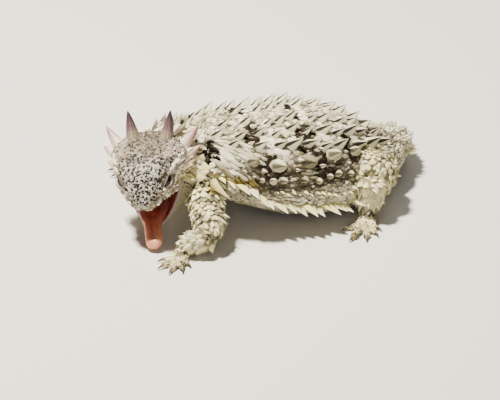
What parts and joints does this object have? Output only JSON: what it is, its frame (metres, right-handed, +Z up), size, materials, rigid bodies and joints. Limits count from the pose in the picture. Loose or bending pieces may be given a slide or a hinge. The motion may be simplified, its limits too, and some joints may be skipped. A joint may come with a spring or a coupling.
{
  "type": "horned lizard",
  "caption": "Life-size horned lizard model, standing with its head turned and its tongue put out to the ground.",
  "frame": {"origin": "on the floor, at the flat where the belly rests", "axes": "+Z up, -Y towards the animal's front, +X towards its left side"},
  "size_m": [0.0757, 0.102, 0.0354],
  "materials": {
    "hide": "dry scaly skin, matt",
    "dark_horn": "horn, satin",
    "pale_horn": "horn, satin",
    "tongue": "wet, glossy",
    "eye": "wet, glossy"
  },
  "bodies": {
    "root": {"torso": "hide", "head": "hide", "jaw": "hide", "neck": "hide", "tongue": "tongue", "tail_base": "hide", "tail_tip": "hide", "upper_arm_left": "hide", "upper_arm_right": "hide", "forearm_left": "hide", "forearm_right": "hide", "hand_left": "hide", "hand_right": "hide", "thigh_left": "hide", "thigh_right": "hide", "shank_left": "hide", "shank_right": "hide", "foot_left": "hide", "foot_right": "hide", "horn_occipital_left": "dark_horn", "horn_occipital_right": "dark_horn", "horn_temporal_1_left": "pale_horn", "horn_temporal_1_right": "pale_horn", "horn_temporal_2_left": "pale_horn", "horn_temporal_2_right": "pale_horn", "horn_temporal_3_left": "pale_horn", "horn_temporal_3_right": "pale_horn", "eye_left": "eye", "eye_right": "eye"}
  },
  "joints": []
}
